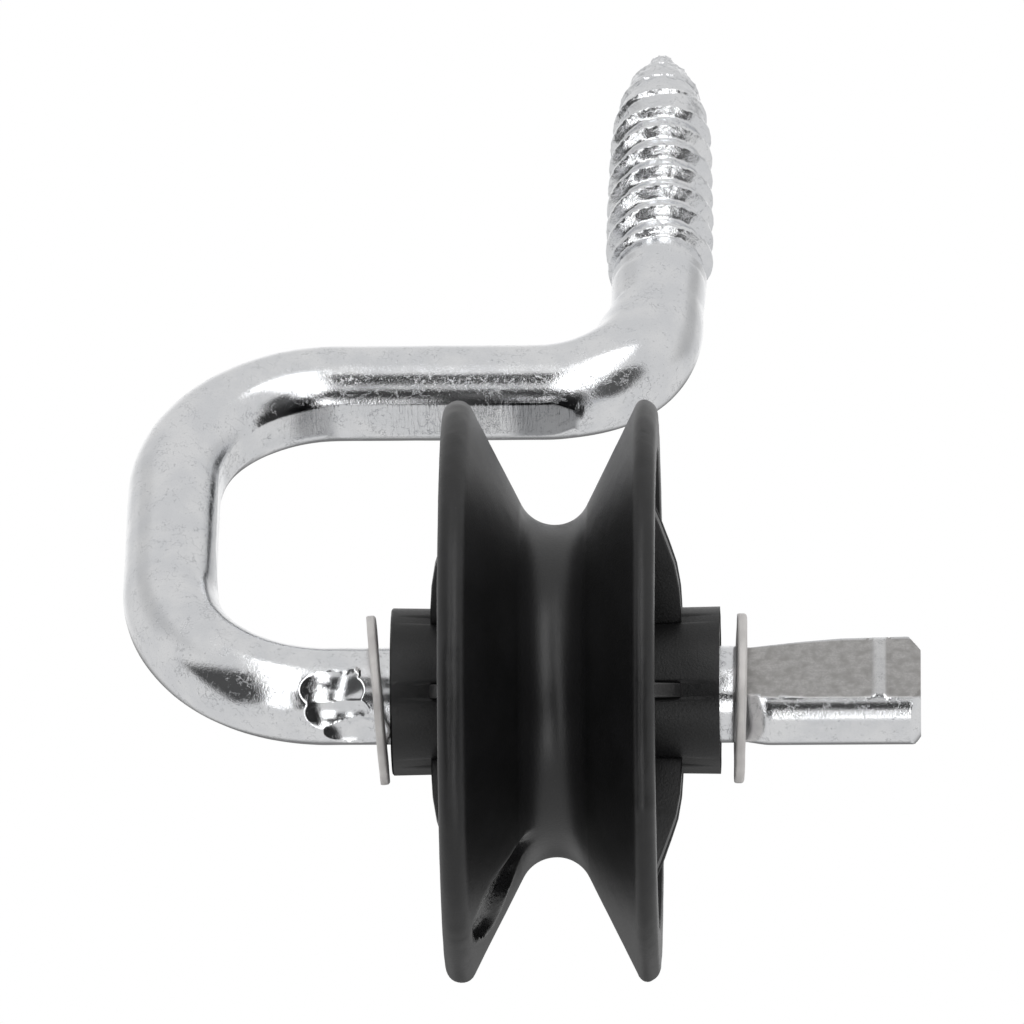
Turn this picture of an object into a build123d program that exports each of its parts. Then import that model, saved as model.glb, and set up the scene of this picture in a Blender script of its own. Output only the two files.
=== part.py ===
from build123d import *
import os
from math import cos, radians, sin, sqrt, tan

# Screw-in pulley hook of a shoulder pulley: a bent screw hook, a groove wheel and two loose washers.
#
# Frame: +Z runs up the wood-screw thread into the ceiling, +X runs along the wheel's axle towards its
# free end, and the bent rod lies in the XZ plane. The origin is on the thread's axis, where the thread
# ends and the plain shank begins. All lengths are in millimetres.

# --- round rod and its bends ---
rod_d = 8.0
shank_len = 4.7                 # plain round shank between thread and elbow
elbow_r = 10.0                  # bend radii are to the rod's centreline
hook_bend_r = 13.4
hook_drop = 39.8                # top bar centreline down to the axle centreline
hook_reach = 40.1               # thread axis to the leg's centreline
axle_end_x = 22.1               # flattened end of the axle

# --- wood-screw thread ---
thread_len = 30.6
thread_pitch = 2.8
crest_d = 9.2
root_d = 7.3
crest_width = 0.35
lower_flank_angle = 35.0         # from square to the thread's axis
upper_flank_angle = 12.0
taper_start_z = 18.6            # the bullet-shaped point begins here
taper_end_z = 30.0
crest_taper_mid = (3.55, 24.2)  # radius and height of a point half-way up each rounded taper
root_taper_mid = (2.95, 24.2)
tip_end_r = 1.1
tip_flat_r = 0.6
runout_len = 2.8                # thread fading into the shank
ridge_inner_r = 2.4             # the ridge is buried this deep in the core
ridge_over = 0.15               # the ridge stands this far out before it is trimmed to the crest
thread_first_z = -2.7           # where the ridge's first turn begins, still inside the shank
thread_turns = 10
ridge_trim = 0.1                # the trimming envelope starts this far inside the shank

# --- die-flattened inside of the hook ---
inner_flat_depth = 0.35
inner_flat_end_x = -6.3
inner_flat_span = 10.0

# --- staked dents and the burrs beside them, which stop the inner washer ---
stake_x = -26.3
stake_ball_r = 4.0
stake_depth = 0.8
stakes = ((45, 0.0), (73, 0.6), (94, 1.8))      # angle from -Y towards -Z, and place along X
burr_x = -24.7
burr_r = 0.85
burr_out = 4.0                                  # burr centre from the axle's centreline
burr_angles = (22, 59, 84, 215)

# --- flattened free end, whose lips stop the outer washer ---
end_flat_x = 8.1
end_flat_h = 2.6                                # flat's distance from the axle's centreline
end_lip_back = 0.8                              # how far behind the centreline a lip reaches
end_lip_inset = 0.1                             # a lip's back edge ends this far inside the round rod
end_flat_over = 1.0                             # the die's block runs past the end by this much
upper_lip = ((8.1, 3.0), (12.2, 3.8), (15.5, 4.2), (22.1, 4.45))     # X place, flat's edge height
lower_lip = ((8.1, 2.9), (12.2, 3.4), (15.5, 3.5), (22.1, 3.5))
end_bevel_len = 1.0
end_bevel_from_r = 4.9
end_bevel_to_r = 3.5
end_band_x = 19.05                              # raised band left by the die across the flat
end_band_w = 0.8
end_band_h = 0.15
end_band_deep = 0.1                             # and how far it is set into the flat
end_band_span = 6.5

# --- wheel ---
wheel_d = 48.0
wheel_x = -7.85                 # mid-plane of the groove
groove_d = 27.4
groove_bottom_r = 2.9
groove_half_angle = 26.0
rim_tip_r = 1.2
lip_inner_r = 19.9
wall = 2.3
under_arc_turn = 35.0           # a middle point of the arc behind the groove's bottom
web_half = 1.6
hub_len = 27.2
hub_root_d = 13.4
hub_end_d = 13.8
wheel_bore_d = 9.0
rib_count = 6
rib_thick = 1.45
rib_first_angle = 50.0          # from -Y towards -Z
rib_hub_x = 10.35               # rib edge's distance from the mid-plane at the hub
rib_mid = (9.26, 14.0)          # a point on the rib's rounded edge: from the mid-plane, from the axis
rib_lip_x = 6.95                # and where the edge meets the rim
rib_into_hub = 0.5              # a rib runs into the hub and the rim by this much
rib_into_lip = 0.1

# --- washers: each one's centre along X, and how its face leans along Y and Z per millimetre ---
washer_od = 14.0
washer_id = 9.0
washer_thick = 0.8
inner_washer_x = -22.62
inner_washer_lean = (0.044, -0.073)
outer_washer_x = 7.25
outer_washer_lean = (-0.036, -0.006)

# --- the bores are loose on the rod: the wheel sits to one side of its play, the washers to the other ---
play = 0.34
play_y = -0.766
play_z = 0.643

rod_r = rod_d / 2
crest_r = crest_d / 2
root_r = root_d / 2
bar_z = -(shank_len + elbow_r)
axle_z = bar_z - hook_drop
leg_x = -hook_reach
bend_x = leg_x + hook_bend_r
ACROSS = Vector(0, 1, 0)


def straight(start, end):
    """A straight run of the rod."""
    run = end - start
    return extrude(Plane(start, z_dir=run) * Circle(rod_r), run.length)


def bend(centre, start, turn):
    """A bend of the rod: start turned by an angle in the XZ plane about centre."""
    tangent = ACROSS.cross(start - centre)
    section = Plane(start, x_dir=ACROSS, z_dir=tangent) * Circle(rod_r)
    return revolve(section, Axis(centre, ACROSS), turn)


def bent_rod():
    """The round rod from the thread's lower end, round the hook, to the end of the axle."""
    elbow_top = Vector(0, 0, -shank_len)
    bar_start = Vector(-elbow_r, 0, bar_z)
    bar_end = Vector(bend_x, 0, bar_z)
    leg_top = Vector(leg_x, 0, bar_z - hook_bend_r)
    leg_low = Vector(leg_x, 0, axle_z + hook_bend_r)
    axle_start = Vector(bend_x, 0, axle_z)
    rod = straight(Vector(0, 0, 0), elbow_top)
    rod += bend(Vector(-elbow_r, 0, -shank_len), elbow_top, 90)
    rod += straight(bar_start, bar_end)
    rod += bend(Vector(bend_x, 0, leg_top.Z), bar_end, -90)
    rod += straight(leg_top, leg_low)
    rod += bend(Vector(bend_x, 0, leg_low.Z), leg_low, -90)
    rod += straight(axle_start, Vector(axle_end_x, 0, axle_z))
    return rod


def turned(edges):
    """A solid turned about Z from the outline of one half, which runs from the origin up to the tip."""
    closing = Line((0, thread_len), edges[0] @ 0)
    return revolve(Plane.XZ * make_face([*edges, closing]), Axis.Z)


def blunt_end():
    """The bevelled end of the thread's point, down to the axis."""
    return Polyline((tip_end_r, taper_end_z), (tip_flat_r, thread_len), (0, thread_len))


def thread_core():
    """The root of the thread, running out to the shank below and into the blunt point above."""
    below = Polyline((0, 0), (rod_r, 0), (root_r, runout_len), (root_r, taper_start_z))
    point = ThreePointArc((root_r, taper_start_z), root_taper_mid, (tip_end_r, taper_end_z))
    return turned([*below.edges(), point, *blunt_end().edges()])


def crest_envelope():
    """The outside of the thread, which trims the ridge."""
    start = (rod_r - ridge_trim, ridge_trim)
    below = Polyline((0, ridge_trim), start, (crest_r, runout_len), (crest_r, taper_start_z))
    point = ThreePointArc((crest_r, taper_start_z), crest_taper_mid, (tip_end_r, taper_end_z))
    return turned([*below.edges(), point, *blunt_end().edges()])


def tooth(z):
    """The ridge's section in the XZ plane, centred at height z."""
    below = tan(radians(lower_flank_angle))
    above = tan(radians(upper_flank_angle))
    half = crest_width / 2
    deep = crest_r - ridge_inner_r
    outer_r = crest_r + ridge_over
    corners = [
        (ridge_inner_r, z - half - deep * below),
        (outer_r, z - half + ridge_over * below),
        (outer_r, z + half - ridge_over * above),
        (ridge_inner_r, z + half + deep * above),
    ]
    return Plane.XZ * make_face(Polyline(*corners, close=True))


def thread():
    """The right-handed screw thread: the core with the ridge added turn by turn, trimmed to the crest."""
    screw = thread_core()
    envelope = crest_envelope()
    for turn in range(thread_turns):
        z = thread_first_z + turn * thread_pitch
        helix = Helix(thread_pitch, thread_pitch, crest_r, center=(0, 0, z))
        screw += sweep(tooth(z), helix, is_frenet=True) & envelope
    return screw


def round_axle(angle, out, x):
    """A point at a distance from the axle's centreline, at an angle from -Y towards -Z."""
    return Vector(x, -out * cos(radians(angle)), axle_z - out * sin(radians(angle)))


def inner_flat_cutter():
    """The space inside the hook, whose edge shaves a narrow flat along the bar, bend and leg."""
    inset = rod_r - inner_flat_depth
    left = leg_x + inset
    top = bar_z - inset
    low = axle_z + hook_bend_r
    corner_r = hook_bend_r - inset
    outline = FilletPolyline((left, low), (left, top), (inner_flat_end_x, top), radius=corner_r)
    closing = Polyline(outline @ 1, (inner_flat_end_x, low), outline @ 0)
    face = make_face([*outline.edges(), *closing.edges()])
    return extrude(Plane.XZ * face, inner_flat_span / 2, both=True)


def lip(profile, side):
    """Metal spread past the rod on one side of the flattened end: side is 1 for up, -1 for down."""
    sections = []
    for x, edge in profile:
        corners = [
            (x, -end_flat_h, axle_z),
            (x, -end_flat_h, axle_z + side * edge),
            (x, end_lip_back, axle_z + side * min(edge, rod_r - end_lip_inset)),
            (x, end_lip_back, axle_z),
        ]
        sections.append(make_face(Polyline(*corners, close=True)))
    return loft(sections, ruled=True)


def end_envelope():
    """The axle's free half with a bevelled end, which trims the flattened end."""
    wide = wheel_d / 2
    bevel_x = axle_end_x - end_bevel_len
    corners = [(0, 0), (wide, 0), (wide, bevel_x), (end_bevel_from_r, bevel_x)]
    corners += [(end_bevel_to_r, axle_end_x), (0, axle_end_x)]
    blank = revolve(Plane.XZ * make_face(Polyline(*corners, close=True)), Axis.Z)
    return Pos(0, 0, axle_z) * Rot(0, 90, 0) * blank


def end_flat_cutter():
    """The die's block: everything on the -Y side of the flat."""
    deep = rod_r
    long = axle_end_x + end_flat_over - end_flat_x
    centre = (end_flat_x + long / 2, -end_flat_h - deep / 2, axle_z)
    return Pos(*centre) * Box(long, deep, 4 * rod_r)


def hook_bolt():
    """The whole bent rod as one solid: thread, hook, axle, staked dents and flattened end."""
    hook = bent_rod() - inner_flat_cutter()
    for angle in burr_angles:
        hook += Pos(*round_axle(angle, burr_out, burr_x)) * Sphere(burr_r)
    for angle, shift in stakes:
        out = rod_r + stake_ball_r - stake_depth
        hook -= Pos(*round_axle(angle, out, stake_x + shift)) * Sphere(stake_ball_r)
    hook -= end_flat_cutter()
    hook += lip(upper_lip, 1)
    hook += lip(lower_lip, -1)
    band_y = -end_flat_h + (end_band_deep - end_band_h) / 2
    hook += Pos(end_band_x, band_y, axle_z) * Box(end_band_w, end_band_h + end_band_deep, end_band_span)
    free_half = Pos(axle_end_x, 0, axle_z) * Box(2 * axle_end_x, wheel_d, wheel_d)
    hook = (hook - free_half) + (hook & end_envelope())
    return hook + thread()


def groove_line(offset):
    """A flank line moved out of the groove by offset: its foot (x, r) on the groove-bottom circle."""
    a = radians(groove_half_angle)
    reach = groove_bottom_r + offset
    bottom_centre = groove_d / 2 + groove_bottom_r
    return reach * cos(a), bottom_centre - reach * sin(a)


def flank_x(offset, r):
    """How far from the mid-plane the moved flank line is, at a distance r from the axis."""
    foot_x, foot_r = groove_line(offset)
    return foot_x + (r - foot_r) * tan(radians(groove_half_angle))


def wheel_half_edges(side):
    """One side of the wheel's section, from the groove's foot out over the rim and in to the bore."""
    a = radians(groove_half_angle)
    bottom_centre = groove_d / 2 + groove_bottom_r
    tip_r = wheel_d / 2 - rim_tip_r
    tip_x = flank_x(rim_tip_r, tip_r)
    foot = groove_line(0)
    under = groove_line(wall)
    under_r = groove_bottom_r + wall
    web_top = bottom_centre - sqrt(under_r**2 - web_half**2)
    turn_x = under_r * sin(radians(under_arc_turn))
    turn_r = bottom_centre - under_r * cos(radians(under_arc_turn))

    def at(x, r):
        return (side * x, r)

    shoulder = at(tip_x - rim_tip_r * cos(a), tip_r + rim_tip_r * sin(a))
    face_top = at(tip_x + rim_tip_r, tip_r)
    lip_top = at(tip_x + rim_tip_r, lip_inner_r)
    recess_top = at(flank_x(wall, lip_inner_r), lip_inner_r)
    hub_root = at(web_half, hub_root_d / 2)
    hub_end = at(hub_len / 2, hub_end_d / 2)
    bore_end = at(hub_len / 2, wheel_bore_d / 2)
    return [
        Line(at(*foot), shoulder),
        ThreePointArc(shoulder, at(tip_x, wheel_d / 2), face_top),
        *Polyline(face_top, lip_top, recess_top, at(*under)).edges(),
        ThreePointArc(at(*under), at(turn_x, turn_r), at(web_half, web_top)),
        *Polyline(at(web_half, web_top), hub_root, hub_end, bore_end).edges(),
    ]


def rib(side):
    """One radial rib in the side recess, standing in the XZ plane."""
    inside = hub_root_d / 2 - rib_into_hub
    deep = web_half / 2
    rim_r = lip_inner_r + rib_into_lip
    groove_clear = flank_x(wall / 2, rim_r)
    edge = ThreePointArc(
        (side * rib_hub_x, inside),
        (side * rib_mid[0], rib_mid[1]),
        (side * rib_lip_x, rim_r),
    )
    back = Polyline(
        (side * rib_lip_x, rim_r),
        (side * groove_clear, rim_r),
        (side * deep, groove_d / 2 - wall / 2),
        (side * deep, inside),
        (side * rib_hub_x, inside),
    )
    plate = Plane.XZ * make_face([edge, *back.edges()])
    return extrude(plate, rib_thick / 2, both=True)


def pulley_wheel():
    """The moulded groove wheel with its hub, side recesses and ribs, in place on the axle."""
    right = wheel_half_edges(1)
    left = wheel_half_edges(-1)
    foot_x, foot_r = groove_line(0)
    bottom = ThreePointArc((-foot_x, foot_r), (0, groove_d / 2), (foot_x, foot_r))
    bore = Line((-hub_len / 2, wheel_bore_d / 2), (hub_len / 2, wheel_bore_d / 2))
    wheel = revolve(Plane.XZ * make_face([bottom, *right, bore, *left]), Axis.X)
    for k in range(rib_count):
        turn = Rot(90 + rib_first_angle + 360 / rib_count * k, 0, 0)
        for side in (-1, 1):
            wheel += turn * rib(side)
    return Pos(wheel_x, play * play_y, axle_z + play * play_z) * wheel


def washer(x, lean):
    """A loose washer hanging on the axle with its face leaning."""
    centre = (x, -play * play_y, axle_z - play * play_z)
    ring = Circle(washer_od / 2) - Circle(washer_id / 2)
    face = Plane(centre, z_dir=(1, -lean[0], -lean[1]))
    return extrude(face * ring, washer_thick / 2, both=True)


NODES = {
    "hook_bolt": hook_bolt(),
    "pulley_wheel": pulley_wheel(),
    "inner_washer": washer(inner_washer_x, inner_washer_lean),
    "outer_washer": washer(outer_washer_x, outer_washer_lean),
}

os.makedirs("parts", exist_ok=True)
for name, shape in NODES.items():
    shape.label = name
    export_step(shape, f"parts/{name}.step")
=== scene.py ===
import math

import bpy
import numpy as np
from mathutils import Matrix, Vector


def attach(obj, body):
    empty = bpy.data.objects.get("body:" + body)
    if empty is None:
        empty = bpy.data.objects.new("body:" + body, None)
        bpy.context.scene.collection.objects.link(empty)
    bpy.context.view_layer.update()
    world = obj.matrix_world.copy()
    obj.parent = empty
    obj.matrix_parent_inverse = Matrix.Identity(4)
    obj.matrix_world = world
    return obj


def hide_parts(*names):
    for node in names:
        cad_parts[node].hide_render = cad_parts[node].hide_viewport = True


# Looks of the screw-in pulley hook of a shoulder pulley. Shapes are worked out in millimetres in the
# part's own frame: +Z up the screw thread, +X along the axle to its free end, the rod in the XZ plane.

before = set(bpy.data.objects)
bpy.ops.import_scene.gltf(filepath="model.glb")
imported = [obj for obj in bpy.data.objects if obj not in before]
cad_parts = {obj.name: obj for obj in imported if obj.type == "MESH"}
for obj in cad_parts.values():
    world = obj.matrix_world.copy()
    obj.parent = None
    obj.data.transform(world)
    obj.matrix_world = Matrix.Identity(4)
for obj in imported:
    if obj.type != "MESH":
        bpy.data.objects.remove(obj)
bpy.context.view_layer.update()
MM = 0.001

# --- rod ---
ROD_R = 4.0
SHANK_LEN = 4.7
ELBOW_R = 10.0
BEND_R = 13.4
BAR_Z = -(SHANK_LEN + ELBOW_R)
AXLE_Z = BAR_Z - 39.8
LEG_X = -40.1
BEND_X = LEG_X + BEND_R
AXLE_END_X = 22.1
COLUMNS = 128                   # points round the rod

# --- narrow flat shaved along the hook's inside ---
FLAT_END_X = -7.4               # on the bar it ends here, beside the elbow
FLAT_DEPTH = 0.36
FLAT_RUNOUT = 1.6

# --- staked dents: angle from -Y towards -Z, and place along X ---
STAKES = ((43, -0.1), (71, 0.3), (97, 1.9))
STAKE_X = -26.3
STAKE_DEPTH = 0.85
STAKE_ROUNDING = 0.015
PUNCH_R = 4.8                   # along the axle
PUNCH_NARROW = 1.3              # and this many times smaller round the rod

# --- burrs beside the inner washer ---
BURR_ANGLES = (22, 59, 84, 215)
BURR_X = -24.5
BURR_R = 0.6
BURR_OUT = 3.85                 # burr centre from the axle's centreline

# --- thread ---
THREAD_LEN = 30.6
PITCH = 2.8
CREST_HALF = 0.17
LOWER_FLANK = math.tan(math.radians(30))
UPPER_FLANK = math.tan(math.radians(20))
FIRST_RIDGE_Z = -2.7
THREAD_FILLET = 0.1
CREST_LINE = (
    (-0.6, 3.9), (0.5, 4.1), (2.6, 4.55), (8.0, 4.55), (17.6, 4.36), (20.7, 4.18), (23.8, 3.62),
    (25.9, 3.12), (27.0, 2.66), (28.0, 2.06), (29.0, 1.56), (30.1, 1.05), (30.6, 0.62),
)
ROOT_LINE = (
    (-0.6, 4.0), (0.0, 4.0), (2.4, 3.62), (5.0, 3.52), (17.6, 3.5), (19.7, 3.5), (21.5, 3.72),
    (23.8, 3.42), (25.9, 2.96), (27.0, 2.52), (28.0, 1.93), (29.0, 1.42), (30.1, 0.98), (30.6, 0.6),
)

# --- wheel ---
WHEEL_CENTRE = (-7.85, -0.26, -54.281)
RIB_COUNT = 6
RIB_FIRST = 50.0
RIB_HALF = 0.72
RIB_EDGE = (                    # (distance from the axis, distance from the mid-plane)
    (6.2, 10.35), (8, 10.31), (10, 10.18), (12, 9.86), (14, 9.26), (16, 8.6), (18, 7.85), (19.9, 6.95),
)
RIM_SHIFT = 0.45                # the moulding's rims stand this far to the left
HUB_SHORT = 0.25                # and its right hub end is this much shorter

# --- gouge in the left flank: (distance from the axis, angle) of its middle and half width ---
GOUGE_MIDDLE = ((13.7, 105), (16, 107.5), (20.5, 111), (22, 110.5), (23.4, 110))
GOUGE_HALF = ((13.7, 2.5), (16, 5.5), (20, 9.0), (21.5, 7.0), (23.3, 2.5))
GOUGE_DEPTH = 0.65
GOUGE_LIP = 0.22

# --- washers: centre, lean of the face along Y and Z ---
WASHERS = {
    "inner_washer": ((-22.62, 0.26, -54.719), (0.044, -0.073), "washer_in"),
    "outer_washer": ((7.25, 0.26, -54.719), (-0.036, -0.006), "washer_out"),
}


# ---------------------------------------------------------------- numeric helpers


def smooth(low, high, value):
    """Goes smoothly from 0 at low to 1 at high."""
    t = np.clip((np.asarray(value, float) - low) / (high - low), 0, 1)
    return t * t * (3 - 2 * t)


def bump_at(centre, width, value):
    """A bell of height 1."""
    return np.exp(-(((np.asarray(value, float) - centre) / width) ** 2))


def lattice_noise(points, cell, seed):
    """Smooth random values from -1 to 1 at points (..., 3), with one lattice value per cell."""
    size = 32
    lattice = np.random.default_rng(seed).uniform(-1, 1, (size, size, size))
    scaled = np.asarray(points, float) / cell
    low = np.floor(scaled).astype(int)
    t = scaled - low
    t = t * t * (3 - 2 * t)
    total = 0.0
    for corner in np.ndindex(2, 2, 2):
        weight = 1.0
        for axis in range(3):
            weight = weight * (t[..., axis] if corner[axis] else 1 - t[..., axis])
        cells = [(low[..., axis] + corner[axis]) % size for axis in range(3)]
        total = total + weight * lattice[cells[0], cells[1], cells[2]]
    return total


def profile(pairs, value):
    """Linear interpolation in a short list of (place, value)."""
    places, values = zip(*pairs)
    return np.interp(value, places, values)


# ---------------------------------------------------------------- mesh helpers


def tube_faces(rings, columns, closed):
    """Quads between rings of points, and from the last ring to the first one when closed."""
    faces = []
    last = rings if closed else rings - 1
    for i in range(last):
        a = i * columns
        b = (i + 1) % rings * columns
        for j in range(columns):
            k = (j + 1) % columns
            faces.append((a + j, b + j, b + k, a + k))
    return faces


def make_mesh(name, points, faces, sharp_angle):
    """A mesh object from points in millimetres, smooth but for edges sharper than an angle."""
    mesh = bpy.data.meshes.new(name)
    mesh.from_pydata((np.asarray(points) * MM).tolist(), [], faces)
    mesh.validate()
    mesh.shade_smooth()
    mesh.set_sharp_from_angle(angle=math.radians(sharp_angle))
    obj = bpy.data.objects.new(name, mesh)
    bpy.context.scene.collection.objects.link(obj)
    return obj


def paint(obj, name, values):
    """A named value per point, which the material reads."""
    attribute = obj.data.attributes.new(name, "FLOAT", "POINT")
    attribute.data.foreach_set("value", np.asarray(values, np.float32).ravel())


# ---------------------------------------------------------------- hook


def rod_path():
    """Centreline stations from the free end to the tip: x, z, heading, and share of the elbow passed."""
    stations = []

    def add(x, z, heading, elbow):
        stations.append((x, z, heading, elbow))

    def line(start, end, heading, step):
        count = max(1, round(math.dist(start, end) / step))
        for i in range(count):
            t = i / count
            x = start[0] + (end[0] - start[0]) * t
            z = start[1] + (end[1] - start[1]) * t
            add(x, z, heading, 0.0)

    def arc(centre, radius, from_angle, to_angle, turn, step, elbow=False):
        count = round(abs(to_angle - from_angle) * radius / step)
        for i in range(count):
            t = i / count
            angle = from_angle + (to_angle - from_angle) * t
            heading = angle + turn * math.pi / 2
            x = centre[0] + radius * math.cos(angle)
            z = centre[1] + radius * math.sin(angle)
            add(x, z, heading, t if elbow else 0.0)

    left = math.pi
    axle_steps = [
        (AXLE_END_X, 20.0, 0.16),
        (20.0, 18.0, 0.09),
        (18.0, 9.0, 0.22),
        (9.0, 6.6, 0.12),
        (6.6, -19.5, 1.5),
        (-19.5, -22.5, 0.4),
        (-22.5, BEND_X, 0.1),
    ]
    for start, end, step in axle_steps:
        line((start, AXLE_Z), (end, AXLE_Z), left, step)
    low = (BEND_X, AXLE_Z + BEND_R)
    high = (BEND_X, BAR_Z - BEND_R)
    arc(low, BEND_R, -math.pi / 2, -math.pi / 2 - 0.26, -1, 0.1)
    arc(low, BEND_R, -math.pi / 2 - 0.26, -math.pi, -1, 0.5)
    line((LEG_X, AXLE_Z + BEND_R), (LEG_X, BAR_Z - BEND_R), math.pi / 2, 0.7)
    arc(high, BEND_R, math.pi, math.pi / 2, -1, 0.42)
    line((BEND_X, BAR_Z), (-ELBOW_R, BAR_Z), 0.0, 0.42)
    arc((-ELBOW_R, -SHANK_LEN), ELBOW_R, -math.pi / 2, 0.0, 1, 0.32, elbow=True)
    line((0, -SHANK_LEN), (0, -0.6), math.pi / 2, 0.4)
    line((0, -0.6), (0, THREAD_LEN), math.pi / 2, 0.1)
    add(0, THREAD_LEN, math.pi / 2, 0.0)
    return np.array(stations)


def end_section(x, dy, dz):
    """Distance from the axle's centreline to the flattened end's surface, in the direction (dy, dz)."""
    upper = profile(((7.4, 3.0), (12.2, 3.8), (15.5, 4.2), (22.1, 4.45)), x)
    body = profile(((6.6, 4.0), (7.4, 3.9), (11.0, 4.2), (15.0, 4.2), (20.9, 3.9), (22.1, 3.85)), x)
    formed = smooth(6.7, 7.4, x)
    sunk = smooth(7.0, 9.8, x)
    circles = [(0.1 * sunk, 0.0, body - 0.1 * sunk), (-2.2 * formed, formed * (upper - 0.45), 0.45)]
    circles.append((0.0, -1.42 * sunk, 3.9 - 0.6 * sunk))
    reach = np.full(np.broadcast(x, dy).shape, 99.0)
    for angle in np.linspace(0, 2 * math.pi, 120, endpoint=False):
        ny, nz = math.cos(angle), math.sin(angle)
        support = np.max([cy * ny + cz * nz + r + 0 * x for cy, cz, r in circles], axis=0)
        facing = dy * ny + dz * nz
        reach = np.where(facing > 0.05, np.minimum(reach, support / np.maximum(facing, 0.05)), reach)
    return reach


def band_height(x):
    """The die's raised band across the flat, as a share of its full height."""
    return smooth(17.9, 18.5, x) * (1 - smooth(19.1, 19.35, x))


def end_flat(x):
    """Distance of the die's flat from the centreline, with the raised band and its two grooves."""
    flat = 4.4 - 1.8 * smooth(6.9, 7.6, x)
    flat = flat + 0.14 * band_height(x)
    return flat - 0.05 * bump_at(17.85, 0.15, x) - 0.06 * bump_at(19.5, 0.13, x)


def flat_edge_angles(x):
    """Where the flat ends above and below, as column angles round the rod."""
    upper = profile(((7.4, 2.9), (12.2, 3.65), (15.5, 4.05), (22.1, 4.3)), x)
    lower = profile(((7.4, 2.95), (10.0, 3.05), (12.5, 3.45), (22.1, 3.45)), x)
    return 270 - np.degrees(np.arctan2(upper, 2.6)), 270 + np.degrees(np.arctan2(lower, 2.6))


def inner_flat_depth(x, z, heading):
    """How deep the die has shaved the hook's inside at each station."""
    on_bar = (np.abs(np.sin(heading)) < 0.5) & (z > -30)
    above = z > AXLE_Z + BEND_R - 2
    depth = np.where(on_bar, FLAT_DEPTH * np.clip((FLAT_END_X - x) / FLAT_RUNOUT, 0, 1), FLAT_DEPTH)
    fade = np.clip((z - (AXLE_Z + BEND_R - 2)) / 6.0, 0, 1)
    side = np.where(on_bar, 1.0, fade)
    return np.where(above & (x < FLAT_END_X) & (heading < 3.1), depth * side, 0.0)


def thread_radius(z, turn):
    """Thread surface at height z, where turn is the angle round the axis as a share of a full turn."""
    crest = profile(CREST_LINE, z)
    root = np.minimum(profile(ROOT_LINE, z), crest)
    offset = (z - FIRST_RIDGE_Z - PITCH * turn + PITCH / 2) % PITCH - PITCH / 2
    below = np.maximum(-offset - CREST_HALF, 0) / LOWER_FLANK
    above = np.maximum(offset - CREST_HALF, 0) / UPPER_FLANK
    flank = crest - below - above
    blended = root + THREAD_FILLET * np.logaddexp(0, (flank - root) / THREAD_FILLET)
    return np.minimum(blended, crest)


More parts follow.
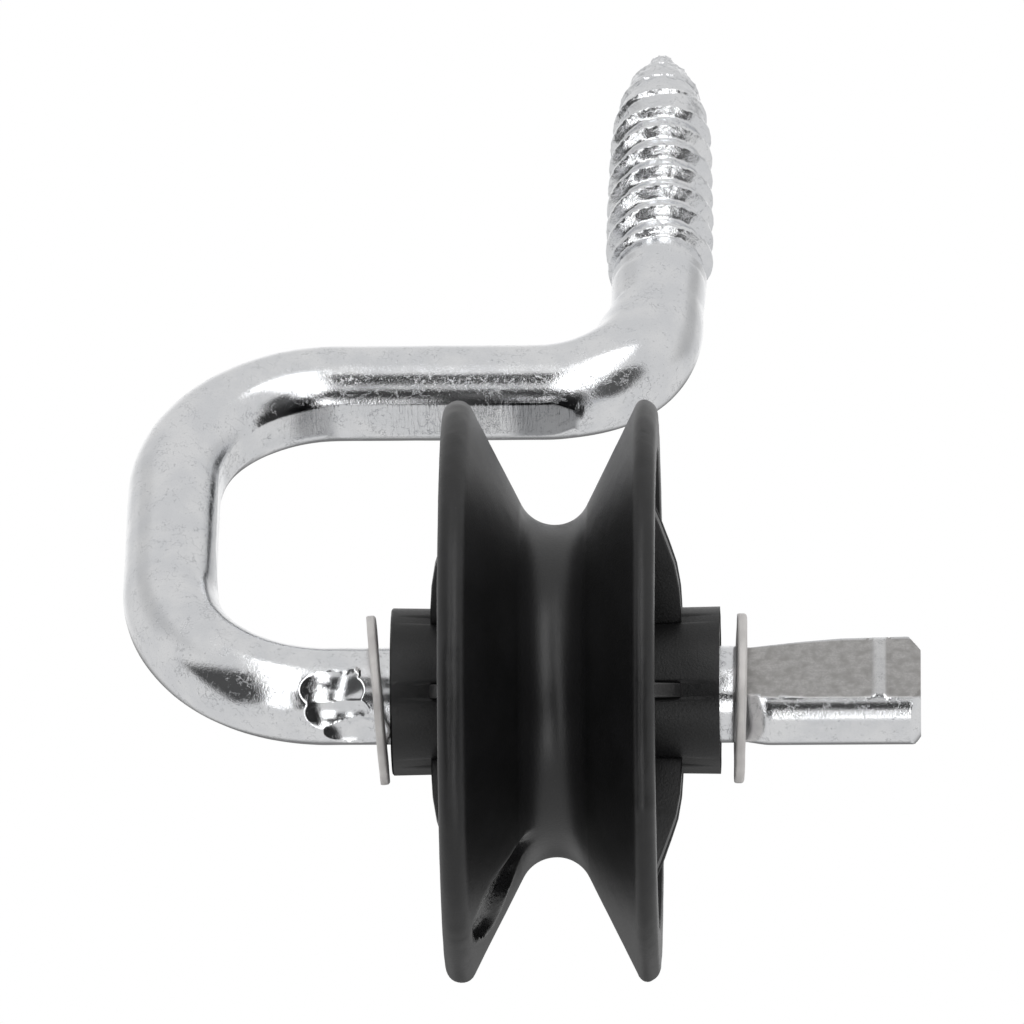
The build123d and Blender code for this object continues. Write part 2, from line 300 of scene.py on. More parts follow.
def hook_surface():
    """Points of the whole bent rod, ring by ring, and what the material needs to know at each point."""
    path = rod_path()
    x, z, heading, elbow = (path[:, i : i + 1] for i in range(4))
    base = np.arange(COLUMNS) * 360.0 / COLUMNS
    axle = (np.abs(heading - math.pi) < 1e-6) & (z < -40)
    screw = (x == 0) & (z > -0.7)

    upper, lower = flat_edge_angles(x)
    at_end = smooth(6.6, 7.4, x) * axle
    step = 360.0 / COLUMNS
    upper_column = round(212 / step) * step
    lower_column = round(323 / step) * step
    depth = inner_flat_depth(x, z, heading)
    half = np.degrees(np.arccos(np.clip((ROD_R - depth) / ROD_R, -1, 1)))
    inner_low = round(156 / step) * step
    inner_high = 360 - inner_low
    angles = np.empty((len(path), COLUMNS))
    near_dents = smooth(-19.5, -22.0, x) * smooth(-34.0, -30.5, x) * (z < AXLE_Z + 6)
    for i in range(len(path)):
        places = [0, 90, 270, 360]
        targets = [0, 90, 270, 360]
        if at_end[i, 0] > 0:
            w = at_end[i, 0]
            places = [0, 90, upper_column, 270, lower_column, 360]
            targets = [0, 90, upper_column + w * (upper[i, 0] - upper_column), 270]
            targets += [lower_column + w * (lower[i, 0] - lower_column), 360]
        elif near_dents[i, 0] > 0:
            w = near_dents[i, 0]
            places = [0, 75, 265, 360]
            targets = [0, 75 - 38 * w, 265 + 18 * w, 360]
        elif depth[i, 0] > 0:
            w = min(depth[i, 0] / 0.1, 1)
            edge = inner_low + w * (180 - half[i, 0] - inner_low)
            places = [0, 90, inner_low, 180, inner_high, 270, 360]
            targets = [0, 90, edge, 180, 360 - edge, 270, 360]
        angles[i] = np.interp(base, places, targets)
    phi = np.radians(angles)
    cos, sin = np.cos(phi), np.sin(phi)

    radius = np.full(phi.shape, ROD_R)
    normal = np.stack([-np.sin(heading), 0 * heading, np.cos(heading)], -1)
    outward = normal * cos[..., None] + np.array([0, 1, 0]) * sin[..., None]
    centre = np.stack([x, 0 * x, z], -1)
    surface = centre + outward * ROD_R

    # Bends: the rod is squeezed in the plane of the bend and spreads out of it.
    bent = np.sin(np.pi * elbow) ** 2
    radius = radius - bent * 0.15 * cos**2 + bent * 0.45 * sin**2
    inside, outside = np.clip(cos, 0, 1), np.clip(-cos, 0, 1)
    radius = radius + 0.75 * bump_at(0.74, 0.24, elbow) * inside**3 * (elbow > 0)
    radius = radius + 0.65 * bump_at(0.55, 0.25, elbow) * outside**2 * (elbow > 0)
    rising = (elbow > 0.5) | ((z > -4.8) & (z < -0.6) & (x == 0))
    radius = radius - 0.22 * bump_at(-4.7, 2.2, z) * outside * rising
    hook_bend = np.abs(np.sin(heading) * np.cos(heading)) * 2 * (elbow == 0)
    radius = radius + hook_bend * (0.10 * sin**2 - 0.12 * cos**2)

    # Hook's inside: the flat, with wrinkles where the bend has squeezed it.
    facing = np.maximum(-cos, 1e-3)
    limit = np.where(depth > 0.02, (ROD_R - depth) / facing, 99.0)
    ripple = lattice_noise(surface * [1.6, 0.5, 1.6], 0.7, 3)
    wrinkle = 0.03 * ripple * bump_at(-25.5, 3.0, x) * (z > -40)
    radius = np.minimum(radius, limit + wrinkle)
    on_flat = (limit <= radius + 0.02) * (depth > 0.02)

    # Axle: burrs, staked dents and the flattened end.
    radius = axle_details(radius, x, z, outward, centre)
    dy, dz = outward[..., 1], outward[..., 2]
    section = end_section(x, dy, dz)
    flat = end_flat(x) / np.maximum(-dy, 1e-3)
    bevel = 4.95 - 1.4 * np.clip(x - (AXLE_END_X - 1.0), 0, 1)
    formed = np.minimum(np.minimum(section, flat), bevel)
    at_flat = axle & (x > 6.7)
    radius = np.where(at_flat, formed, radius)
    die_mark = at_flat * (x > 7.2) * (flat < section + 0.02) * (1 - 0.55 * band_height(x))

    # Thread.
    turn = (np.pi - phi) / (2 * np.pi) + 0 * z
    grain = lattice_noise(surface, 0.35, 5)
    lumps = lattice_noise(surface, 1.1, 6)
    threaded = thread_radius(z + 0.07 * lumps, turn)
    pointed = smooth(21, 27, z)
    threaded = threaded + (0.035 + 0.06 * pointed) * grain * smooth(0.3, 2.5, z) + 0.12 * lumps * pointed
    radius = np.where(screw, threaded, radius)
    radius = radius + 0.012 * lattice_noise(surface, 1.7, 8) * (x < 5)

    points = centre + outward * radius[..., None]
    is_thread = screw * smooth(0.2, 1.6, z) + 0 * radius
    reached = surface[..., 0]
    # Painted shade: the inner flat beside the elbow and beside the lower bend is marked here to be painted
    # darker, standing in for shade in the hook's inside corners.
    painted_corner_shade = on_flat * smooth(-13.0, -11.0, reached) * (z > -40)
    at_bend = smooth(-31.0, -29.5, reached)
    painted_corner_shade = painted_corner_shade + 0.6 * on_flat * at_bend * smooth(-26.6, -27.6, reached) * (z > -40)
    staked = smooth(-29.8, -29.2, x) * (x < -20)
    worked = np.maximum(smooth(6.5, 7.0, x), staked) * axle * (die_mark < 0.1)
    masks = {
        "thread": is_thread,
        "die_mark": die_mark,
        "inner_flat": on_flat,
        "painted_corner_shade": painted_corner_shade,
        "worked": worked,
    }
    return points, {name: mask + 0.0 * radius for name, mask in masks.items()}


def axle_details(radius, x, z, outward, centre):
    """Burrs raised beside the inner washer, and the dents of the staking punch."""

    def along(angle, out, place):
        a = math.radians(angle)
        return np.array([place, -out * math.cos(a), AXLE_Z - out * math.sin(a)])

    near = (z < AXLE_Z + 8) & (x < -20)
    for angle in BURR_ANGLES:
        spot = along(angle, BURR_OUT, BURR_X)
        to = spot - centre
        middle = (to * outward).sum(-1)
        square = middle**2 - (to**2).sum(-1) + BURR_R**2
        far = middle + np.sqrt(np.maximum(square, 0))
        radius = np.where((square > 0) & (middle > 0) & near, np.maximum(radius, far), radius)
    for angle, shift in STAKES:
        spot = along(angle, ROD_R + PUNCH_R - STAKE_DEPTH, STAKE_X + shift)
        a = math.radians(angle)
        across = np.array([0.0, math.sin(a), -math.cos(a)])

        def squeeze(v):
            return v + (PUNCH_NARROW - 1) * (v * across).sum(-1, keepdims=True) * across

        to, ray = squeeze(spot - centre), squeeze(outward)
        length = (ray**2).sum(-1)
        middle = (to * ray).sum(-1)
        square = middle**2 - length * ((to**2).sum(-1) - PUNCH_R**2)
        close = (middle - np.sqrt(np.maximum(square, 0))) / length
        sunk = radius - STAKE_ROUNDING * np.logaddexp(0, (radius - close) / STAKE_ROUNDING)
        radius = np.where((square > 0) & (middle > 0) & near, sunk, radius)
    return radius


def hook_piece():
    """The bent rod as one closed mesh."""
    points, masks = hook_surface()
    end_ring, tip_ring = points[0], points[-1]
    end_middle = np.array([AXLE_END_X, 0.0, AXLE_Z])
    tip_middle = np.array([0.0, 0.0, THREAD_LEN])
    shrink = (0.93, 0.6, 0.25)
    caps = [end_middle + (end_ring - end_middle) * s for s in shrink[::-1]]
    caps_top = [tip_middle + (tip_ring - tip_middle) * s + [0, 0, 0.06 * (1 - s)] for s in (0.7, 0.35)]
    layers = [*caps, *points, *caps_top]
    count = len(layers)
    flat_points = np.concatenate(layers)
    faces = tube_faces(count, COLUMNS, closed=False)
    first = len(flat_points)
    last = first + 1
    middles = np.array([layers[0].mean(0), layers[-1].mean(0)])
    top = (count - 1) * COLUMNS
    for j in range(COLUMNS):
        k = (j + 1) % COLUMNS
        faces.append((first, j, k))
        faces.append((last, top + k, top + j))
    hook = make_mesh("hook_rod", np.concatenate([flat_points, middles]), faces, 32)

    def spread(values):
        before = np.zeros((len(caps), COLUMNS))
        after = np.zeros((len(caps_top), COLUMNS))
        return np.concatenate([before.ravel(), values.ravel(), after.ravel(), [0, 0]])

    for name, mask in masks.items():
        paint(hook, name, spread(mask))
    return hook


# ---------------------------------------------------------------- wheel


def wheel_outline():
    """One side of the wheel's turned outline from the bore to the groove's bottom: (x, r, kind)."""
    rows = []

    def run(start, end, count, kind):
        for i in range(count):
            t = i / count
            rows.append((start[0] + (end[0] - start[0]) * t, start[1] + (end[1] - start[1]) * t, kind))

    def arc(centre, radius, start, end, count, kind):
        for i in range(count):
            a = math.radians(start + (end - start) * i / count)
            rows.append((centre[0] + radius * math.cos(a), centre[1] + radius * math.sin(a), kind))

    run((0, 4.5), (13.3, 4.5), 5, "bore")
    run((13.3, 4.5), (13.6, 4.8), 2, "hub_end")
    run((13.6, 4.8), (13.6, 6.72), 5, "hub_end")
    run((13.6, 6.72), (13.45, 6.9), 2, "hub_end")
    run((13.45, 6.9), (1.6, 6.7), 16, "hub_wall")
    run((1.6, 6.7), (1.6, 11.65), 9, "recess")
    arc((0, 16.6), 5.2, -72.0, -26.0, 9, "recess")
    run((4.67, 14.32), (7.41, 19.9), 12, "recess")
    run((7.41, 19.9), (8.7, 19.9), 3, "lip")
    run((8.7, 19.9), (8.8, 20.05), 2, "lip")
    run((8.8, 20.05), (8.8, 22.8), 4, "rim")
    arc((7.6, 22.8), 1.2, 0, 154, 12, "rim")
    run((6.52, 23.33), (2.61, 15.33), 26, "flank")
    arc((0, 16.6), 2.9, -26, -90, 12, "groove")
    return rows


def rib_height(r):
    """How far a rib's edge stands from the mid-plane at a distance r from the axis."""
    return profile(RIB_EDGE, r)


def wheel_columns(r):
    """Angles round the wheel at a distance r: columns crowd at the ribs' walls and follow them."""
    gap = 60.0
    wall = math.degrees(math.asin(RIB_HALF / min(max(r, 6.7), 19.9)))
    edge = math.degrees(0.16 / min(max(r, 6.7), 19.9))
    inside = np.array([-1.0, -0.82, 0, 0.82, 1.0]) * (wall - edge)
    outside = np.linspace(wall + edge, gap - wall - edge, 38)
    sector = np.concatenate([inside, [wall], outside, [gap - wall]])
    lift = np.concatenate([[1.0, 1.0, 1.0, 1.0, 1.0], [0.5], np.zeros(38), [0.5]])
    rounded = np.concatenate([[0.12, 0.02, 0, 0.02, 0.12], [0.0], np.zeros(38), [0.0]])
    angles = np.concatenate([RIB_FIRST + gap * k + sector for k in range(RIB_COUNT)])
    return np.radians(angles), np.tile(lift, RIB_COUNT), np.tile(rounded, RIB_COUNT)


def wheel_piece():
    """The moulded wheel as one closed mesh, with ribs in both recesses and moulding marks."""
    half = wheel_outline()
    rings = []
    kinds = []
    for side, rows in ((1, half), (-1, half[::-1])):
        if side == -1:
            rows = [(0.0, 13.7, "groove")] + rows
        for x, r, kind in rows:
            angles, lift, rounded = wheel_columns(r)
            place = np.full(len(angles), float(x))
            if kind == "recess" and r < 19.8:
                top = rib_height(r) - rounded
                place = place + np.maximum(top - x, 0) * lift
            if kind == "hub_wall":
                base = 1.6 + (rib_height(6.7) - rounded - 1.6) * lift
                t = (x - 1.6) / (13.45 - 1.6)
                place = base + (13.45 - base) * t
            ring = np.stack([side * place, -r * np.cos(angles), -r * np.sin(angles)], -1)
            rings.append(ring)
            kinds.append(kind)
    points = np.array(rings)
    points = moulding_marks(points, kinds)
    columns = points.shape[1]
    flat_points = points.reshape(-1, 3) + WHEEL_CENTRE
    wheel = make_mesh("wheel_body", flat_points, tube_faces(len(rings), columns, closed=True), 34)
    names = np.array(kinds)
    # The groove's bottom is marked for rope wear and a painted sheen: the material makes it glossier and
    # paints it lighter.
    groove_wear_and_sheen = np.where(names == "groove", 1.0, 0.0)
    paint(wheel, "groove_wear_and_sheen", np.repeat(groove_wear_and_sheen, columns))
    cut, lip = gouge_shape(np.array(rings), kinds)
    paint(wheel, "gouge", np.maximum(cut, lip))
    return wheel


def moulding_marks(points, kinds):
    """Nibs of flash along the rims, a ragged hub edge, the shifted rims and the gouge in one flank."""
    out = points.copy()
    r = np.hypot(points[..., 1], points[..., 2])
    theta = np.degrees(np.arctan2(-points[..., 2], -points[..., 1]))
    names = np.array(kinds)[:, None]
    sideways = np.sign(points[..., 0])
    ripple = lattice_noise(points, 1.3, 11)
    fine = lattice_noise(points, 0.6, 12)
    rim = (names == "rim") & (r > 22.6)
    swell = 0.04 * ripple + 0.03 * fine
    for angle, side, size in ((-98, 1, 0.35), (-93, 1, 0.25), (-87, 1, 0.22), (74, 1, 0.3)):
        swell = swell + size * bump_at(angle, 0.9, theta) * (sideways == side)
    growth = np.where(rim, swell, 0.0)
    hub = (names == "hub_end") & (r > 6.6)
    growth = growth + np.where(hub, 0.08 * np.abs(fine) + 0.05 * ripple, 0.0)
    scale = 1 + growth / np.maximum(r, 1)
    out[..., 1] *= scale
    out[..., 2] *= scale
    uneven = profile(((-8.8, 1.0), (-6.0, 0.9), (0.0, 0.2), (6.5, 0.0), (8.0, 0.9)), points[..., 0])
    uneven = uneven * np.isin(names, ("lip", "rim", "flank", "groove"))
    cut, lip = gouge_shape(points, kinds)
    out[..., 0] = out[..., 0] - GOUGE_DEPTH * cut + GOUGE_LIP * lip - RIM_SHIFT * uneven
    out[..., 0] = out[..., 0] - HUB_SHORT * (sideways > 0) * (names == "hub_end")
    out[..., 0] = out[..., 0] + 0.015 * ripple * (names != "bore")
    return out


def gouge_shape(points, kinds):
    """Where the left flank is gouged, fading out towards the rim, and where its torn edges stand up."""
    r = np.hypot(points[..., 1], points[..., 2])
    theta = np.degrees(np.arctan2(-points[..., 2], -points[..., 1]))
    names = np.array(kinds)[:, None]
    flank = ((names == "flank") | (names == "groove")) & (points[..., 0] < -0.5)
    wander = 1.5 * lattice_noise(points, 2.0, 31)
    middle = profile(GOUGE_MIDDLE, r) + wander
    half = profile(GOUGE_HALF, r)
    across = (theta - middle) / half
    ends = smooth(13.9, 15.0, r) * (1 - smooth(21.6, 23.3, r)) * flank
    cut = (1 - smooth(0.55, 1.0, np.abs(across))) * ends
    lip = bump_at(1.15, 0.3, across) * ends * smooth(16, 18, r)
    return cut, lip


def washer_piece(name, centre, lean):
    """A loose punched washer: a thin ring with one rolled edge and one burred edge."""
    half, outer, inner = 0.4, 7.0, 4.5
    outline = [(half, inner + 0.12), (half, inner + 0.5), (half, 5.5), (half, 6.3), (half, outer - 0.28)]
    outline += [(half - 0.05, outer - 0.12), (half - 0.16, outer - 0.02), (0.1, outer), (-0.2, outer)]
    outline += [(-half + 0.08, outer - 0.02), (-half, outer - 0.07), (-half, 6.3), (-half, 5.5)]
    outline += [(-half, inner + 0.5), (-half, inner + 0.1), (-half + 0.1, inner), (half - 0.12, inner)]
    columns = 180
    angle = np.linspace(0, 2 * math.pi, columns, endpoint=False)
    axis = Vector((1, -lean[0], -lean[1])).normalized()
    across = Vector((0, 0, 1)).cross(axis).normalized()
    up = axis.cross(across)
    rings = []
    for along, r in outline:
        ring = np.stack([np.full(columns, along), r * np.cos(angle), r * np.sin(angle)], -1)
        rings.append(ring)
    local = np.array(rings)
    wave = lattice_noise(local, 2.2, 21) * 0.02
    local[..., 0] += wave
    basis = np.array([axis, across, up])
    points = (local.reshape(-1, 3) @ basis) + centre
    return make_mesh(name, points, tube_faces(len(outline), columns, closed=True), 40)


# ---------------------------------------------------------------- materials


class Nodes:
    """A short way to write node trees."""

    def __init__(self, tree):
        self.tree = tree
        tree.nodes.clear()

    def add(self, kind, values=None, **settings):
        node = self.tree.nodes.new(kind)
        for key, value in settings.items():
            setattr(node, key, value)
        for key, value in (values or {}).items():
            if isinstance(value, bpy.types.NodeSocket):
                self.tree.links.new(value, node.inputs[key])
            else:
                node.inputs[key].default_value = value
        return node

    def math(self, operation, a, b=0.0, c=0.0):
        return self.add("ShaderNodeMath", {0: a, 1: b, 2: c}, operation=operation).outputs[0]

    def mix(self, factor, a, b):
        node = self.add("ShaderNodeMix", {"Factor": factor}, data_type="RGBA")
        for key, value in ((6, a), (7, b)):
            if isinstance(value, bpy.types.NodeSocket):
                self.tree.links.new(value, node.inputs[key])
            else:
                node.inputs[key].default_value = (*value, 1)
        return node.outputs[2]

    def steps(self, value, low, high):
        values = {"Value": value, "From Min": low, "From Max": high}
        return self.add("ShaderNodeMapRange", values, interpolation_type="SMOOTHSTEP").outputs[0]

    def noise(self, vector, scale, detail=2.0, roughness=0.5):
        values = {"Vector": vector, "Scale": scale, "Detail": detail, "Roughness": roughness}
        return self.add("ShaderNodeTexNoise", values).outputs["Fac"]

    def millimetres(self, stretch=(1, 1, 1)):
        place = self.add("ShaderNodeTexCoord").outputs["Object"]
        scale = tuple(1000 * s for s in stretch)
        return self.add("ShaderNodeVectorMath", {0: place, 1: scale}, operation="MULTIPLY").outputs[0]

    def attribute(self, name):
        return self.add("ShaderNodeAttribute", attribute_name=name).outputs["Fac"]


def new_material(name):
    material = bpy.data.materials.new(name)
    material.use_nodes = True
    return material, Nodes(material.node_tree)


def finish_material(n, values):
    shader = n.add("ShaderNodeBsdfPrincipled", values)
    n.add("ShaderNodeOutputMaterial", {"Surface": shader.outputs[0]})


def zinc():
    """Bright zinc plating over rolled and bent steel: speckled, scratched, matte on the die's flat, with
    painted shade darkening the inner flat beside the bends.
    """
    material, n = new_material("zinc_plating")
    place = n.millimetres()
    thread = n.attribute("thread")
    die_mark = n.attribute("die_mark")
    inner = n.attribute("inner_flat")
    painted_corner_shade = n.attribute("painted_corner_shade")
    worked = n.attribute("worked")
    broad = n.noise(place, 0.35, 3)
    speckle = n.noise(place, 5.5, 3, 0.7)
    grain = n.noise(place, 12.0, 2, 0.6)
    streaks = n.noise(n.millimetres((0.25, 1.2, 1.2)), 1.2, 4, 0.7)
    pits = n.steps(n.noise(place, 2.6, 4, 0.7), 0.62, 0.70)
    wandering = n.noise(n.add("ShaderNodeVectorMath", {0: place, 1: (3, 3, 3)}).outputs[0], 0.9, 5, 0.62)
    from_line = n.math("ABSOLUTE", n.math("SUBTRACT", wandering, 0.5))
    line = n.math("SUBTRACT", 1.0, n.steps(from_line, 0.003, 0.014))
    scratch = n.math("MULTIPLY", line, n.steps(n.noise(place, 0.55, 2), 0.47, 0.58))
    clean = n.mix(n.steps(broad, 0.35, 0.7), (0.80, 0.81, 0.83), (0.885, 0.89, 0.90))
    flecks = n.steps(n.noise(place, 7.5, 3, 0.75), 0.52, 0.72)
    marked = n.mix(n.math("MULTIPLY", flecks, 0.35), clean, (0.60, 0.61, 0.63))
    marked = n.mix(n.math("MULTIPLY", pits, 0.5), marked, (0.42, 0.43, 0.45))
    marked = n.mix(n.math("MULTIPLY", scratch, 0.55), marked, (0.40, 0.41, 0.43))
    # Painted shade: the inner flat beside the bends is darkened to stand in for shade in the hook's inside
    # corners.
    marked = n.mix(n.math("MULTIPLY", painted_corner_shade, 0.75), marked, (0.22, 0.225, 0.235))
    dull = n.math("MULTIPLY_ADD", speckle, 0.6, n.math("MULTIPLY", streaks, 0.4))
    grey = n.mix(n.steps(dull, 0.3, 0.7), (0.42, 0.41, 0.405), (0.58, 0.57, 0.56))
    grey = n.mix(n.steps(n.noise(place, 1.1, 3), 0.4, 0.7), grey, (0.40, 0.39, 0.38))
    colour = n.mix(die_mark, marked, grey)
    rough = n.math("MULTIPLY_ADD", speckle, 0.10, 0.03)
    rough = n.math("MULTIPLY_ADD", die_mark, 0.36, rough)
    rough = n.math("MULTIPLY_ADD", inner, 0.10, rough)
    rough = n.math("MULTIPLY_ADD", worked, 0.07, rough)
    height = n.math("MULTIPLY_ADD", grain, 0.25, speckle)
    height = n.math("MULTIPLY_ADD", pits, -0.35, height)
    height = n.math("MULTIPLY_ADD", scratch, -0.5, height)
    height = n.math("MULTIPLY_ADD", n.math("MULTIPLY", streaks, die_mark), 0.9, height)
    drawn = n.noise(n.millimetres((4.0, 0.5, 0.5)), 1.0, 3)
    height = n.math("MULTIPLY_ADD", n.math("MULTIPLY", drawn, inner), 3.5, height)
    rolled = n.noise(place, 3.4, 3, 0.7)
    height = n.math("MULTIPLY_ADD", n.math("MULTIPLY", rolled, thread), 2.4, height)
    strength = n.math("MULTIPLY_ADD", worked, -0.4, 1.0)
    bump = n.add("ShaderNodeBump", {"Height": height, "Strength": strength, "Distance": 0.000011})
    finish_material(
        n, {"Base Color": colour, "Metallic": 1.0, "Roughness": rough, "Normal": bump.outputs[0]}
    )
    return material


def plastic():
    """Black moulded plastic: a fine grain, faint dust and scuffs, polished where the rope runs, and lighter
    along the groove's bottom as rope wear plus painted sheen.
    """
    material, n = new_material("moulded_plastic")
    place = n.millimetres()
    grain = n.noise(place, 5.0, 3, 0.6)
    cloud = n.noise(place, 0.25, 3)
    dust = n.steps(n.noise(place, 3.1, 4, 0.7), 0.66, 0.74)
    groove_wear_and_sheen = n.attribute("groove_wear_and_sheen")
    base = n.mix(n.steps(cloud, 0.3, 0.7), (0.005, 0.005, 0.0055), (0.009, 0.009, 0.010))
    dusty = n.mix(n.math("MULTIPLY", dust, 0.35), base, (0.06, 0.06, 0.063))
    # Rope wear plus painted sheen: the groove's bottom is painted lighter, standing in partly for the sheen
    # along it.
    colour = n.mix(n.math("MULTIPLY", groove_wear_and_sheen, 0.35), dusty, (0.02, 0.02, 0.021))
    rough = n.math("MULTIPLY_ADD", grain, 0.16, 0.33)
    rough = n.math("MULTIPLY_ADD", groove_wear_and_sheen, -0.06, rough)
    gouge = n.attribute("gouge")
    rough = n.math("MULTIPLY_ADD", gouge, -0.26, rough)
    torn = n.noise(n.millimetres((0.5, 1, 1)), 1.1, 4, 0.7)
    height = n.math("MULTIPLY_ADD", cloud, 0.5, grain)
    height = n.math("MULTIPLY_ADD", n.math("MULTIPLY", torn, gouge), 6.0, height)
    bump = n.add("ShaderNodeBump", {"Height": height, "Strength": 0.35, "Distance": 0.00005})
    values = {"Base Color": colour, "Roughness": rough, "Specular IOR Level": 0.6, "Normal": bump.outputs[0]}
    finish_material(n, values)
    return material


def washer_metal():
    """Dull punched steel with a warm grey cast."""
    material, n = new_material("washer_metal")
    place = n.millimetres()
    grain = n.noise(place, 6.0, 3, 0.6)
    cloud = n.noise(place, 0.5, 3)
    colour = n.mix(n.steps(cloud, 0.3, 0.7), (0.74, 0.715, 0.70), (0.84, 0.82, 0.80))
    rough = n.math("MULTIPLY_ADD", grain, 0.25, 0.38)
    bump = n.add("ShaderNodeBump", {"Height": grain, "Strength": 0.4, "Distance": 0.00004})
    finish_material(
        n, {"Base Color": colour, "Metallic": 0.6, "Roughness": rough, "Normal": bump.outputs[0]}
    )
    return material


def floor_paint():
    """Plain pale matte paint."""
    material, n = new_material("floor_paint")
    cloud = n.noise(n.millimetres(), 0.002, 2)
    colour = n.mix(cloud, (0.84, 0.84, 0.84), (0.88, 0.88, 0.88))
    finish_material(n, {"Base Color": colour, "Roughness": 0.9})
    return material


# ---------------------------------------------------------------- camera, light, floor


AZIMUTH, ELEVATION, ROLL = (math.radians(a) for a in (2.33, -50.76, -1.46))
CAMERA_AWAY = 1.5               # metres
LENS = 635.19                   # a long lens on a 36 mm sensor
LOOK_AT = (-11.25, 0, -40.0)    # near the middle of the hook
AIM_RIGHT, AIM_UP = -0.72, 5.93
RIGHT = Vector((math.cos(AZIMUTH), math.sin(AZIMUTH), 0))
TOWARDS = Vector(
    (
        math.sin(AZIMUTH) * math.cos(ELEVATION),
        -math.cos(AZIMUTH) * math.cos(ELEVATION),
        math.sin(ELEVATION),
    )
)
UP = TOWARDS.cross(RIGHT)


def add_camera():
    """The camera looks up at the hook from in front and below, through a long lens."""
    data = bpy.data.cameras.new("camera")
    data.lens = LENS
    data.sensor_width = 36.0
    data.clip_start = 0.05
    data.clip_end = 60.0
    camera = bpy.data.objects.new("camera", data)
    bpy.context.scene.collection.objects.link(camera)
    target = Vector(LOOK_AT) * MM + RIGHT * (AIM_RIGHT * MM) + UP * (AIM_UP * MM)
    right = RIGHT * math.cos(ROLL) - UP * math.sin(ROLL)
    up = RIGHT * math.sin(ROLL) + UP * math.cos(ROLL)
    place = Matrix((right, up, TOWARDS)).transposed().to_4x4()
    place.translation = target + TOWARDS * CAMERA_AWAY
    camera.matrix_world = place
    bpy.context.scene.camera = camera


# The studio round the hook, as seen from it: directions are spread out flat round the way to the camera,
# in degrees to the right and up. Each panel or gap has its corners, the softness of its edge and a level.
STUDIO_LEVEL = 0.70
PANELS = (
    (((-105, 80), (-70, 92), (-58, 40), (-98, 30)), 14.0, 0.56),
    (((90, 88), (126, 80), (126, 0), (94, 8)), 12.0, 0.5),
    (((-80, -138), (80, -138), (80, -180), (-80, -180)), 9.0, 0.2),
    (((-82, -4), (-74, 4), (-31, 36), (-30, -12), (-38, -30), (-56, -48)), 2.0, 0.08),
    (((-23, 70), (-11, 68), (-13, 30), (-20, -18), (-24, -34), (-38, -34), (-28, 20)), 1.2, 2.4),
    (((-14, 22), (6, 22), (6, 7), (-14, 7)), 2.0, 0.5),
    (((-12, 46), (4, 46), (4, 20), (-12, 20)), 1.5, 0.05),
    (((4, 60), (31, 60), (27, 22), (23, -4), (19, -10), (3, 5)), 2.0, 2.2),
    (((-20, 9), (0, 8), (-1, -32), (-24, -34)), 1.5, 0.05),
    (((-3, 8), (3, 6), (20, -6), (16, -13), (-3, -13)), 1.2, 0.06),
    (((0, -15), (16, -15), (24, -18), (26, -40), (-1, -40)), 1.2, 2.2),
    (((28, 20), (48, 18), (58, 0), (54, -20), (44, -36), (27, -28), (25, -8)), 2.5, 0.1),
)
BEHIND_LEVEL = 1.0
LOW_BEHIND_LEVEL = 0.2


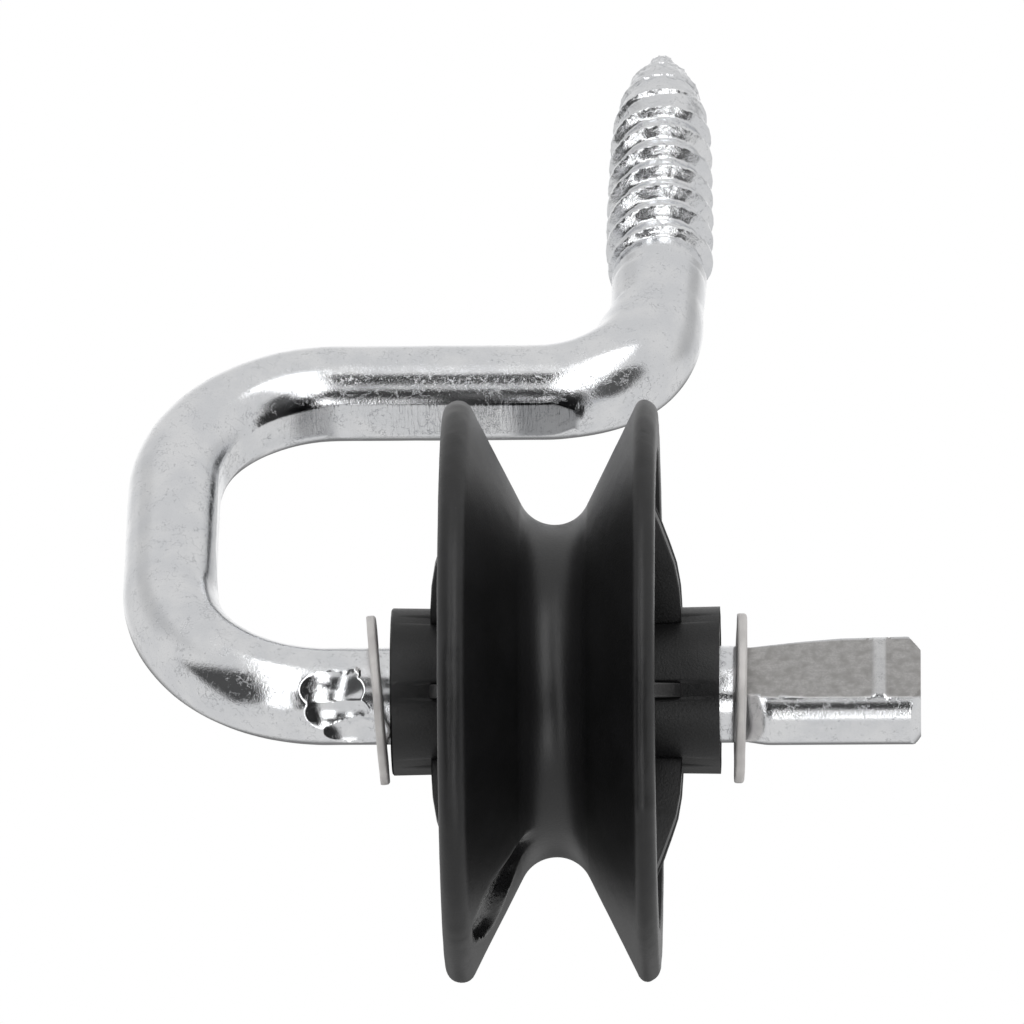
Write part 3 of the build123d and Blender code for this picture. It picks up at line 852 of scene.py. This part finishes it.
def add_world():
    """White studio surroundings with dim gaps near the camera; seen directly it is plain white."""
    world = bpy.data.worlds.new("studio")
    bpy.context.scene.world = world
    world.use_nodes = True
    n = Nodes(world.node_tree)
    direction = n.add("ShaderNodeTexCoord").outputs["Generated"]

    def along(axis):
        values = {0: direction, 1: tuple(axis)}
        return n.add("ShaderNodeVectorMath", values, operation="DOT_PRODUCT").outputs["Value"]

    def length(a, b):
        return n.math("SQRT", n.math("ADD", n.math("MULTIPLY", a, a), n.math("MULTIPLY", b, b)))

    right, up = along(RIGHT), along(UP)
    away = n.math("MULTIPLY", n.math("ARCCOSINE", along(TOWARDS)), 180 / math.pi)
    spread = n.math("DIVIDE", away, n.math("MAXIMUM", length(right, up), 0.001))
    across = n.math("MULTIPLY", right, spread)
    above = n.math("MULTIPLY", up, spread)
    behind = n.steps(away, 140.0, 168.0)
    low = n.steps(above, -10.0, -80.0)
    back = n.math("MULTIPLY_ADD", low, LOW_BEHIND_LEVEL - BEHIND_LEVEL, BEHIND_LEVEL)
    change = n.math("SUBTRACT", back, STUDIO_LEVEL)
    level = n.math("MULTIPLY_ADD", behind, change, STUDIO_LEVEL)
    for corners, soft, panel_level in PANELS:
        within = 90.0
        turning = sum(p[0] * q[1] - q[0] * p[1] for p, q in zip(corners, corners[1:] + corners[:1]))
        for p, q in zip(corners, corners[1:] + corners[:1]):
            side = math.copysign(1 / math.dist(p, q), turning)
            nx, ny = (p[1] - q[1]) * side, (q[0] - p[0]) * side
            from_edge = n.math("MULTIPLY_ADD", above, ny, -(p[0] * nx + p[1] * ny))
            within = n.math("MINIMUM", within, n.math("MULTIPLY_ADD", across, nx, from_edge))
        inside = n.steps(within, -soft, soft)
        level = n.math("MULTIPLY_ADD", inside, n.math("SUBTRACT", panel_level, level), level)
    seen = n.add("ShaderNodeLightPath").outputs["Is Camera Ray"]
    light = n.add("ShaderNodeBackground", {"Color": (1, 1, 1, 1), "Strength": level})
    plain = n.add("ShaderNodeBackground", {"Color": (1, 1, 1, 1), "Strength": 1.0})
    both = n.add("ShaderNodeMixShader", {0: seen, 1: light.outputs[0], 2: plain.outputs[0]})
    n.add("ShaderNodeOutputWorld", {"Surface": both.outputs[0]})


def add_floor():
    """A plain pale floor far below, out of the way of the camera's view from under the hook."""
    half, level = 20.0, -1.9
    mesh = bpy.data.meshes.new("floor")
    corners = [(-half, -half, level), (half, -half, level), (half, half, level), (-half, half, level)]
    mesh.from_pydata(corners, [], [(0, 1, 2, 3)])
    floor = bpy.data.objects.new("floor", mesh)
    bpy.context.scene.collection.objects.link(floor)
    mesh.materials.append(floor_paint())
    floor.visible_glossy = False


hook = hook_piece()
hook.data.materials.append(zinc())
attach(hook, "hook")
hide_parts("hook_bolt")

wheel = wheel_piece()
wheel.data.materials.append(plastic())
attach(wheel, "wheel")
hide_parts("pulley_wheel")

washer_finish = washer_metal()
for node, (centre, lean, body) in WASHERS.items():
    ring = washer_piece(node + "_ring", centre, lean)
    ring.data.materials.append(washer_finish)
    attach(ring, body)
    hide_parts(node)

add_camera()
add_world()
add_floor()
bpy.context.scene.view_settings.view_transform = "Standard"
